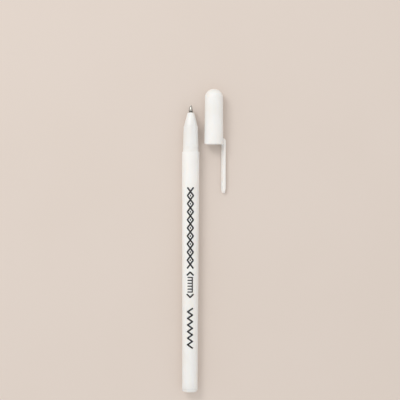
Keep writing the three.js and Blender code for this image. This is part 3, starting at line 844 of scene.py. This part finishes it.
class FABRICPEN_OT_tail_plug(bpy.types.Operator):
    """Builds the tail plug: a rounded head with a flat end, a spigot and an air groove on its underside"""

    bl_idname = "fabric_pen.tail_plug"
    bl_label = "Tail plug"

    def execute(self, context):
        pen = context.scene.fabric_pen
        size = millimetres(pen.plug)
        head_radius = half_width("tail_plug")
        round_end = size.head_length - size.rim_length
        steps = 12
        head = []
        for i in range(1, steps + 1):
            angle = math.pi / 2 * i / steps
            across = (head_radius - size.face_radius) * math.sin(angle)
            head.append((size.face_radius + across, round_end * (1 - math.cos(angle))))
        # In the middle of the dish, the gate's stub stands up without reaching the face.
        dish, dish_floor = size.gate_radius, size.gate_depth
        stub = dish_floor * 0.4
        plug = turn("tail_plug_moulding", [
            (0, stub),
            (dish * 0.3, stub, 0.04),
            (dish * 0.4, dish_floor, 0.03),
            (dish * 0.8, dish_floor, 0.06),
            (dish, 0, 0.05),
            (size.face_radius, 0),
            *head,
            (head_radius, size.head_length, size.edge_round),
            (size.spigot_radius, size.head_length),
            (size.spigot_radius, PLUG_END - CHAMFER),
            (size.spigot_radius - CHAMFER, PLUG_END),
            (0, PLUG_END),
        ])
        # The cutter for the air groove runs 1 mm past the plug's side and end.
        floor = size.spigot_radius - size.vent_depth
        vent_start = size.head_length - size.vent_depth
        deep, long = head_radius - floor + 1, PLUG_END - vent_start + 1
        groove = make_cutter(
            (0, floor + deep / 2, vent_start + long / 2), (size.vent_width, deep, long),
            lambda corner: corner.z < vent_start + 0.1 or corner.y < floor + 0.1,
        )
        combine(plug, groove, "DIFFERENCE")
        smooth(plug)
        tone = pen.colours.plug_white
        white = moulded_plastic("Tail plug plastic", PEN_PLACE, tone, roughness=0.34, ripple=0.5)
        finish_piece(plug, white, "pen", "tail_plug", "plug_white")
        return {"FINISHED"}


class FABRICPEN_OT_nose_cone(bpy.types.Operator):
    """Builds the nose cone that is pressed into the neck and holds the metal tip"""

    bl_idname = "fabric_pen.nose_cone"
    bl_label = "Nose cone"

    def execute(self, context):
        pen = context.scene.fabric_pen
        size = millimetres(pen.nose)
        base = CONE_END - size.cone_length
        shank_rear = CONE_END - size.bore_length
        cone = turn("nose_cone_moulding", [
            (size.holder_radius, CONE_REAR),
            (size.spigot_radius - CHAMFER, CONE_REAR),
            (size.spigot_radius, CONE_REAR + CHAMFER),
            (size.spigot_radius, base),
            (size.base_radius, base, size.base_round),
            *bulge((size.base_radius, base), (size.front_radius, CONE_END), size.swell, 16),
            (size.front_radius, CONE_END, size.front_round),
            (size.bore_radius, CONE_END, 0.06),
            (size.bore_radius, shank_rear),
            (size.holder_radius, shank_rear),
            (size.holder_radius, CONE_REAR),
        ])
        tone = pen.colours.nose_white
        white = moulded_plastic("Nose cone plastic", PEN_PLACE, tone, roughness=0.28, ripple=0.6)
        finish_piece(cone, white, "pen", "nose_cone", "nose_white")
        return {"FINISHED"}


class FABRICPEN_OT_point(bpy.types.Operator):
    """Builds the turned metal tip and the ball that rolls in it"""

    bl_idname = "fabric_pen.point"
    bl_label = "Point"

    def execute(self, context):
        pen = context.scene.fabric_pen
        size = millimetres(pen.point)
        ball_radius = (BALL_FRONT - BALL_REAR) / 2
        middle = (BALL_FRONT + BALL_REAR) / 2
        shank_rear = CONE_END - size.shank_rear
        shank_end = CONE_END + size.shank_show
        seat = ball_radius + size.seat_clearance
        seat_front, seat_rear = math.asin(size.lip_past / seat), -math.pi / 3.2
        lip_front = middle + size.lip_past
        lip_hole = math.sqrt(seat**2 - size.lip_past**2)
        lip_radius = seat + size.lip_wall
        taper_start = (size.taper_radius, shank_end)
        taper_end = (lip_radius + size.lip_step, lip_front - size.lip_length)
        groove_rear = CONE_END + size.groove_start
        groove_front = groove_rear + size.groove_width
        groove_floor = size.shank_radius - size.groove_depth
        channel_rear = middle - seat - size.channel_length
        tip = turn("turned_tip", [
            (size.stop_radius, TIP_REAR),
            (size.tail_radius, TIP_REAR, 0.08),
            (size.tail_radius, shank_rear),
            (size.shank_radius, shank_rear, 0.06),
            (size.shank_radius, groove_rear, 0.05),
            (groove_floor, groove_rear + size.groove_depth / 2, 0.05),
            (groove_floor, groove_front - size.groove_depth / 2, 0.05),
            (size.shank_radius, groove_front, 0.05),
            (size.shank_radius, shank_end, 0.07),
            (*taper_start, 0.04),
            *bulge(taper_start, taper_end, size.taper_swell, 10),
            (*taper_end, 0.05),
            (lip_radius, lip_front - size.lip_length * 0.45, 0.06),
            (lip_hole + 0.04, lip_front, 0.03),
            *arc(middle, seat, seat_front, seat_rear, 8),
            (size.channel_radius, middle - seat),
            (size.channel_radius, channel_rear),
            (size.bore_radius, channel_rear - size.bore_radius),
            (size.bore_radius, TIP_REAR + size.stop_width * 2),
            (size.stop_radius, TIP_REAR + size.stop_width),
            (size.stop_radius, TIP_REAR),
        ])
        # The groove round the shank gets a ring of painted shade that stands in for the shadow in it.
        metal = turned_metal(
            "Tip metal", pen.colours.tip_metal, residue=pen.colours.residue,
            dark_ring=((groove_rear + groove_front) / 2, 0.4),
        )
        finish_piece(tip, metal, "pen", "point_tip", "tip_metal")

        ball = begin("rolling_ball", bpy.ops.mesh.primitive_cube_add, size=1)
        with editing(ball):
            bpy.ops.mesh.subdivide(number_cuts=11)
            bpy.ops.transform.tosphere(value=1)
            size_now = max(v.co.length for v in bmesh.from_edit_mesh(ball.data).verts)
            bpy.ops.transform.resize(value=[ball_radius / size_now] * 3)
            bpy.ops.transform.translate(value=(0, 0, middle))
        smooth(ball)
        hard = turned_metal("Ball metal", pen.colours.ball_metal, roughness=0.08, pitch=0.02, relief=0.0005)
        finish_piece(ball, hard, "ball", "tip_ball", "ball_metal")
        return {"FINISHED"}


class FABRICPEN_OT_refill(bpy.types.Operator):
    """Builds the ink, and gives the spring, holder, tube, grease and float inside the pen their finishes"""

    bl_idname = "fabric_pen.refill"
    bl_label = "Refill"

    def execute(self, context):
        pen = context.scene.fabric_pen
        size = millimetres(pen.ink)
        colours = pen.colours
        ink = moulded_plastic(
            "White ink", PEN_PLACE, colours.ink, roughness=0.12, ripple=0.2, smudge=0.04, soft=0.3
        )
        column = turn("ink_column", [
            (0, INK_REAR),
            (size.column_radius, INK_REAR, size.meniscus),
            (size.column_radius, size.column_front, size.meniscus),
            (0, size.column_front),
        ])
        finish_piece(column, ink, "pen", "ink_charge", "ink_white")
        # The share of the column left in front of the follower when it has come all the way is worked out, but not
        # used.
        joint = next(joint for joint in frame["joints"] if joint["name"] == "follower_travel")
        travel = max(joint["range_m"]) / MM
        left = (size.column_front - FOLLOWER_FRONT - travel) / (size.column_front - INK_REAR)
        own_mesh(column)
        stem = turn("ink_stem", [
            (0, size.column_front),
            (size.stem_radius, size.column_front),
            (size.stem_radius, INK_FRONT, size.meniscus),
            (0, INK_FRONT),
        ], steps=TURN_STEPS // 2)
        finish_piece(stem, ink, "pen", "ink_charge", "ink_white")

        finish_node("tip_spring", turned_metal("Spring wire", colours.wire, 0.2, 0.03, 0.001))
        finish_node("tip_holder", clear_plastic("Holder plastic", colours.natural, 0.15, 0.4))
        finish_node("ink_tube", clear_plastic("Tube plastic", colours.natural, 0.4, 0.3))
        finish_node("ink_follower", clear_plastic("Grease", colours.grease, 0.5, 0.12))
        finish_node("follower_float", clear_plastic("Float plastic", colours.natural, 0.2, 0.4))
        return {"FINISHED"}


class FABRICPEN_OT_cap(bpy.types.Operator):
    """Builds the cap, one moulding: a domed tube with a snap groove inside its mouth, and its long clip"""

    bl_idname = "fabric_pen.cap"
    bl_label = "Cap with clip"

    def execute(self, context):
        pen = context.scene.fabric_pen
        size = millimetres(pen.cap)
        dome_centre = size.length - size.dome_radius
        quarter = math.pi / 2

        def bore_radius(station):
            return between(size.mouth_bore, size.neck_bore, station / size.neck_depth)

        def side_radius(station):
            return between(size.mouth_radius, size.dome_radius, station / dome_centre)

        groove = swelling(size.groove_station, size.groove_width, size.groove_depth, bore_radius)
        # The side's rings lie close together near the mouth, where the clip joins it.
        side_stations = (1, 2, 3, 4, 5, 12)
        shell = turn("cap_moulding", [
            *arc(dome_centre, size.liner_bore, quarter, 0, 16),
            (size.liner_bore, size.ledge_station),
            (size.neck_bore, size.ledge_station, 0.04),
            (size.neck_bore, size.neck_depth),
            *reversed(groove),
            (bore_radius(size.lead_in), size.lead_in),
            (size.mouth_bore + size.lead_in, 0, 0.05),
            (size.mouth_radius, 0, size.mouth_round),
            *[(side_radius(station), station) for station in side_stations],
            *arc(dome_centre, size.dome_radius, 0, quarter, 20),
        ])
        combine(shell, make_clip(millimetres(pen.clip)), "UNION")
        with editing(shell):
            close_up()
        smooth(shell)
        white = moulded_plastic("Cap plastic", CAP_PLACE, pen.colours.body_white, ripple=0.3, seam=0.25)
        finish_piece(shell, white, "cap", "cap_shell", "cap_white")
        return {"FINISHED"}


class FABRICPEN_OT_cap_seal(bpy.types.Operator):
    """Builds the liner cup inside the cap and the pad that the ball rests on"""

    bl_idname = "fabric_pen.cap_seal"
    bl_label = "Cap liner and pad"

    def execute(self, context):
        pen = context.scene.fabric_pen
        size = millimetres(pen.seal)
        cap = millimetres(pen.cap)
        dome_centre = cap.length - cap.dome_radius
        pocket_end = PAD_END + size.pocket_gap
        pocket_front = PAD_START + size.pad_proud
        round_end = math.asin((LINER_END - dome_centre) / size.liner_radius)
        liner = turn("cap_liner_cup", [
            (0, pocket_end),
            (size.pocket_radius, pocket_end),
            (size.pocket_radius, pocket_front, 0.05),
            (size.relief_radius, pocket_front, 0.3),
            (size.relief_radius, size.seal_station + size.seal_width),
            (size.seal_radius, size.seal_station, 0.1),
            (size.lip_radius, LINER_START, 0.04),
            (size.liner_radius, LINER_START, 0.05),
            *arc(dome_centre, size.liner_radius, 0, round_end, 8),
            (0, LINER_END),
        ])
        soft_white = moulded_plastic(
            "Liner plastic", CAP_PLACE, pen.colours.liner, roughness=0.45, ripple=0.6, smudge=0.15
        )
        finish_piece(liner, soft_white, "cap", "cap_liner", "liner_plastic")

        pad = turn("seal_disc", [
            (0, PAD_START + size.dent_depth),
            (size.dent_radius * 0.5, PAD_START + size.dent_depth * 0.8),
            (size.dent_radius, PAD_START, 0.1),
            (size.pad_radius, PAD_START, 0.15),
            (size.pad_radius, PAD_END, 0.15),
            (0, PAD_END),
        ])
        rubber = moulded_plastic(
            "Pad elastomer", CAP_PLACE, pen.colours.pad, roughness=0.62, ripple=2.0, smudge=0.2, soft=0.05
        )
        finish_piece(pad, rubber, "cap", "seal_pad", "pad_rubber")
        return {"FINISHED"}


class FABRICPEN_OT_stitch_print(bpy.types.Operator):
    """Prints three rows of stitch signs along the top of the barrel"""

    bl_idname = "fabric_pen.stitch_print"
    bl_label = "Stitch print"

    def execute(self, context):
        pen = context.scene.fabric_pen
        size = millimetres(pen.print)
        printed = lay_strokes([*cross_row(size), *arrow_row(size), *herringbone_row(size)])
        merge_strokes(printed, size.height)
        settle(printed, PEN_PLACE)
        wrap = printed.modifiers.new("Wrap", "SHRINKWRAP")
        wrap.target = bpy.data.objects["barrel_moulding"]
        wrap.wrap_method = "PROJECT"
        wrap.use_project_z = True
        wrap.use_negative_direction = True
        wrap.use_positive_direction = False
        film = printed.modifiers.new("Film", "SOLIDIFY")
        film.thickness = size.thickness * MM
        film.offset = 0
        pick(printed)
        bpy.ops.object.modifier_apply(modifier=wrap.name)
        bpy.ops.object.modifier_apply(modifier=film.name)
        with editing(printed):
            bpy.ops.mesh.normals_make_consistent(inside=False)
        smooth(printed)
        paint(printed, printed_ink(pen.colours.print_black))
        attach(printed, "pen")
        return {"FINISHED"}


class FABRICPEN_OT_stage(bpy.types.Operator):
    """Builds the floor, the soft light and the camera straight above the pen"""

    bl_idname = "fabric_pen.stage"
    bl_label = "Stage"

    def execute(self, context):
        stage = context.scene.fabric_pen.stage
        floor = begin("floor", bpy.ops.mesh.primitive_plane_add, size=FLOOR_SIZE)
        material, tree, position = start_material("Floor", Matrix())
        tone = stage.floor_colour
        tint = shade_drift(tree, position, (*tone, 1), deeper(tone, 0.012), scale=0.015, amount=1.0)
        grain = noise(tree, position, 2.5, 3.0)
        end_material(tree, tint, 0.9, grain, 0.15, 0.04, Specular_IOR_Level=0.2)
        paint(floor, material)
        floor.location.z = CAD_BOX[0].z
        apply_place(floor)
        light_world(context.scene, stage)
        place_camera(context.scene, stage)
        return {"FINISHED"}


# Clip

def clip_rings(clip):
    """The clip's rings from its root to where its end begins to narrow: (station, inner x, outer x)."""
    rings = []
    top, steps = clip.root_height - clip.root_round, 12
    # Even the thinnest ring leaves room for the rounded edges.
    least_outer = clip.root_seat + clip.edge_round * 2.1
    for i in range(steps + 1):
        angle = math.pi / 2 * (1 - i / steps)
        outer = between(clip.root_seat, clip.outer, math.cos(angle))
        rings.append((top + clip.root_round * math.sin(angle), clip.root_seat, max(outer, least_outer)))
    # Just above the web, the inner side comes out of the cap's wall, and curves down to the inner face.
    wall = clip.inner - clip.web_curve
    rings += [(clip.web_lift + 0.5, clip.root_seat, clip.outer), (clip.web_lift + 0.02, wall, clip.outer)]
    steps = 8
    for i in range(1, steps + 1):
        along = i / steps
        inner = wall + clip.web_curve * (1 - (1 - along) ** 2)
        rings.append((clip.web_lift - clip.web_curve * along**2, inner, clip.outer))
    rings += [(-station, clip.inner, clip.outer) for station in range(4, 21, 4)]
    rings.append((clip.end_length - clip.reach, clip.inner, clip.outer))
    return rings


def choose_ring(piece, station, wanted=lambda corner: True):
    """In edit mode, selects the corners at a station that are wanted."""
    choose(piece, "verts", lambda v: abs(v.co.z - station) < NEAR and wanted(v.co))


def make_clip(clip):
    """The clip: a rounded section, extruded from the root in the cap's wall to the free end, and its grip."""
    strip = begin("clip_strip", bpy.ops.mesh.primitive_plane_add, size=1)
    (station, inner, outer), *rings = clip_rings(clip)
    with editing(strip):
        bpy.ops.transform.resize(value=(outer - inner, clip.width, 1))
        bpy.ops.transform.translate(value=((inner + outer) / 2, 0, station))
        bpy.ops.mesh.bevel(offset=clip.edge_round, segments=5, affect="VERTICES")
        for next_station, next_inner, next_outer in rings:
            middle = (inner + outer) / 2
            choose_ring(strip, station)
            extrude(0, 0, next_station - station)
            station = next_station
            choose_ring(strip, station, lambda corner: corner.x < middle)
            bpy.ops.transform.translate(value=(next_inner - inner, 0, 0))
            middle += next_inner - inner
            choose_ring(strip, station, lambda corner: corner.x > middle)
            bpy.ops.transform.translate(value=(next_outer - outer, 0, 0))
            inner, outer = next_inner, next_outer
        round_off_end(strip, clip, station)
        close_up()
    for way in (-1, 1):
        combine(strip, make_slot(clip, way), "DIFFERENCE")
    grip = begin("grip", bpy.ops.mesh.primitive_uv_sphere_add, segments=32, ring_count=20, radius=1)
    with editing(grip):
        bpy.ops.transform.resize(value=(clip.grip_height, clip.grip_width / 2, clip.grip_length / 2))
        bpy.ops.transform.translate(value=(clip.inner, 0, -clip.grip_station))
    combine(strip, grip, "UNION")
    return strip


def make_slot(clip, way):
    """A cutter for the room beside the web, between the cap's wall and one side of the clip."""
    # It starts within the wall, and runs 1 mm past the top of the root and past the mouth.
    low, high = clip.root_seat - 0.5, clip.web_reach
    long = clip.root_height + 2
    return make_cutter(
        ((low + high) / 2, way * (clip.web_width / 2 + clip.width / 4), clip.root_height + 1 - long / 2),
        (high - low, clip.width / 2, long),
        lambda corner: corner.x > high - 0.1 and corner.y * way < clip.web_width / 2 + 0.1,
    )


def round_off_end(strip, clip, station):
    """Narrows the clip's free end: half an ellipse seen from outside, half a circle seen from the side."""
    half_thick = (clip.outer - clip.inner) / 2
    middle = ((clip.inner + clip.outer) / 2, 0)
    steps, least = 14, 0.02
    wide = thick = 1.0
    for i in range(1, steps + 1):
        down = clip.end_length * math.sin(math.pi / 2 * i / steps)
        next_station = clip.end_length - clip.reach - down
        next_wide = max(math.sqrt(max(0, 1 - (down / clip.end_length) ** 2)), least)
        bend = max(0, 1 - (clip.end_length - down) / half_thick)
        next_thick = max(math.sqrt(max(0, 1 - bend**2)), least)
        choose_ring(strip, station)
        extrude(0, 0, next_station - station)
        bpy.ops.transform.resize(
            value=(next_thick / thick, next_wide / wide, 1), center_override=(*middle, next_station)
        )
        station, wide, thick = next_station, next_wide, next_thick
    bpy.ops.mesh.merge(type="CENTER")


# Printed stitches, each given as (length, width, across the barrel, station, angle from the pen's axis)

def cross_row(size):
    """Crosses that meet corner to corner in a lattice, with a short stitch in each opening between them."""
    pitch = (size.cross_end - size.cross_start) / size.crosses
    rise = size.height - size.stroke_width
    lean = math.atan2(rise, pitch)
    arm = (math.hypot(rise, pitch) + size.stroke_width * 0.4, size.stroke_width)
    dash = (pitch * 0.24, size.stroke_width * 0.7)
    for i in range(size.crosses):
        station = size.cross_start + pitch * (i + 0.5)
        for way in (-1, 1):
            yield (*arm, 0, station, way * lean)
        if i:
            yield (*dash, 0, station - pitch / 2, 0)


def arrow_row(size):
    """A row of blanket stitch, a line with upright stitches, between two arrow heads that point apart."""
    head, side = size.height * 0.42, size.height * 0.36
    first, last = size.arrow_start + head * 1.7, size.arrow_end - head * 1.7
    fine = size.fine_width
    yield (last - first + fine * 0.9, fine, side - fine / 2, (first + last) / 2, 0)
    for i in range(size.uprights):
        station = first + (last - first) * i / (size.uprights - 1)
        yield (side * 2 - fine / 2, fine, -fine / 4, station, math.pi / 2)
    barb = (head * math.sqrt(2) + size.stroke_width * 0.5, size.stroke_width)
    for end, way in ((size.arrow_start, 1), (size.arrow_end, -1)):
        for out in (-1, 1):
            yield (*barb, out * head / 2, end + way * head / 2, way * out * math.pi / 4)


def herringbone_row(size):
    """Slanted stitches that cross near their ends, as in herringbone stitch."""
    pitch = (size.weave_end - size.weave_start) / size.weaves
    rise, run = size.height - size.stroke_width, pitch * 1.25
    lean = math.atan2(rise, run)
    for i in range(size.weaves):
        station = size.weave_start + pitch * (i + 0.5)
        yield (math.hypot(rise, run), size.stroke_width, 0, station, lean if i % 2 else -lean)


def make_stroke(long, wide):
    """One printed stitch, a flat bar with round ends, lying along X."""
    stroke = begin("stroke", bpy.ops.mesh.primitive_plane_add, size=1)
    with editing(stroke):
        bpy.ops.transform.resize(value=(long, wide, 1))
        bpy.ops.mesh.bevel(offset=wide * 0.42, segments=ROUND_SEGMENTS, affect="VERTICES")
        extrude(0, 0, 1)
        close_up()
    return stroke


def lay_strokes(stitches):
    """Models one stroke of each size, lays copies of it, each with its own mesh, and joins them."""
    patterns, laid = {}, []
    flat = Matrix(((0, 1, 0), (0, 0, -1), (1, 0, 0))).to_4x4()
    for long, wide, across, station, angle in stitches:
        if (long, wide) not in patterns:
            patterns[long, wide] = make_stroke(long, wide)
        copy = patterns[long, wide].copy()
        copy.data = copy.data.copy()
        bpy.context.collection.objects.link(copy)
        over = Matrix.Translation((across, -PRINT_LIFT, station))
        copy.matrix_world = over @ Matrix.Rotation(angle, 4, "Y") @ flat
        apply_place(copy)
        laid.append(copy)
    for pattern in patterns.values():
        bpy.data.objects.remove(pattern)
    printed = laid[0]
    pick(printed)
    for copy in laid:
        copy.select_set(True)
    bpy.ops.object.join()
    printed.name = printed.data.name = "stitch_print"
    return printed


def merge_strokes(printed, height):
    """Merges the bars where they cross, keeps their upper faces and cuts these lengthwise into strips."""
    with editing(printed):
        put_in_order()
        bpy.ops.mesh.intersect_boolean(operation="UNION", use_self=True, solver="EXACT")
        choose(printed, "faces", lambda f: f.normal.y > -0.5)
        bpy.ops.mesh.delete(type="FACE")
        merge_near(10 * NEAR)
        bpy.ops.mesh.select_all(action="SELECT")
        bpy.ops.mesh.dissolve_limited(angle_limit=math.radians(1))
        bpy.ops.mesh.delete_loose()
        put_in_order()
        strips = round(height / STRIP_WIDTH)
        for i in range(1, strips):
            bpy.ops.mesh.select_all(action="SELECT")
            bpy.ops.mesh.bisect(plane_co=(height * (i / strips - 0.5), 0, 0), plane_no=(1, 0, 0))
        close_up()


# Light and camera

def light_world(scene, stage):
    """An even pale sky, which takes the backdrop's colour near the floor, and one large soft lamp."""
    world = scene.world = bpy.data.worlds.new("Studio")
    world.use_nodes = True
    tree = world.node_tree
    tree.nodes.clear()
    height = along_axis(tree, add_node(tree, "ShaderNodeTexCoord").outputs["Generated"], "Z")
    shade = mix(tree, remap(tree, height, 0.0, 0.3), (*stage.backdrop, 1), (*stage.sky, 1))
    sky = add_node(tree, "ShaderNodeBackground", {"Color": shade})
    add_node(tree, "ShaderNodeOutputWorld", {"Surface": sky.outputs["Background"]})
    lamp_data = bpy.data.lights.new("soft_lamp", "AREA")
    lamp_data.shape = "DISK"
    lamp_data.size = stage.lamp_size
    lamp_data.energy = stage.lamp
    lamp_data.color = stage.lamp_colour
    lamp = bpy.data.objects.new("soft_lamp", lamp_data)
    lamp.location = stage.lamp_place
    lamp.rotation_euler = (-lamp.location).to_track_quat("-Z", "Y").to_euler()
    scene.collection.objects.link(lamp)
    scene.view_settings.view_transform = "Standard"


def place_camera(scene, stage):
    """The camera looks straight down at the middle of the photograph's frame."""
    camera_data = bpy.data.cameras.new("camera_above")
    camera_data.lens = stage.lens
    camera_data.sensor_width = 36
    camera_data.clip_start = 0.01
    camera = bpy.data.objects.new("camera_above", camera_data)
    camera.location = (*CAMERA_OVER, stage.camera_height)
    camera.rotation_euler = (0, 0, stage.roll)
    scene.collection.objects.link(camera)
    scene.camera = camera


# Panel and registering

PIECE_OPERATORS = (
    FABRICPEN_OT_barrel,
    FABRICPEN_OT_tail_plug,
    FABRICPEN_OT_nose_cone,
    FABRICPEN_OT_point,
    FABRICPEN_OT_refill,
    FABRICPEN_OT_cap,
    FABRICPEN_OT_cap_seal,
    FABRICPEN_OT_stitch_print,
    FABRICPEN_OT_stage,
)


class FABRICPEN_PT_panel(bpy.types.Panel):
    """Lists the pen's pieces and their sizes and colours"""

    bl_idname = "FABRICPEN_PT_panel"
    bl_label = "Fabric Pen"
    bl_space_type = "VIEW_3D"
    bl_region_type = "UI"
    bl_category = "Fabric Pen"

    def draw(self, context):
        layout = self.layout
        for operator in PIECE_OPERATORS:
            layout.operator(operator.bl_idname)
        settings = context.scene.fabric_pen
        for entry in entries(settings):
            box = layout.box()
            box.label(text=entry.name)
            group = getattr(settings, entry.identifier)
            for size in entries(group):
                box.prop(group, size.identifier)


CLASSES = (
    FABRICPEN_PG_barrel,
    FABRICPEN_PG_plug,
    FABRICPEN_PG_nose,
    FABRICPEN_PG_point,
    FABRICPEN_PG_cap,
    FABRICPEN_PG_clip,
    FABRICPEN_PG_seal,
    FABRICPEN_PG_ink,
    FABRICPEN_PG_print,
    FABRICPEN_PG_colours,
    FABRICPEN_PG_stage,
    FABRICPEN_PG_settings,
    *PIECE_OPERATORS,
    FABRICPEN_PT_panel,
)


def register():
    for made in CLASSES:
        bpy.utils.register_class(made)
    bpy.types.Scene.fabric_pen = PointerProperty(name="Fabric pen", type=FABRICPEN_PG_settings)


def unregister():
    del bpy.types.Scene.fabric_pen
    for made in reversed(CLASSES):
        bpy.utils.unregister_class(made)


def main():
    """Builds the pen piece by piece."""
    register()
    for operator in PIECE_OPERATORS:
        group, name = operator.bl_idname.split(".")
        getattr(getattr(bpy.ops, group), name)()


def plain(box):
    """A box as plain lists of numbers."""
    return [[float(number) for number in corner] for corner in box]


if __name__ == "__main__":
    main()
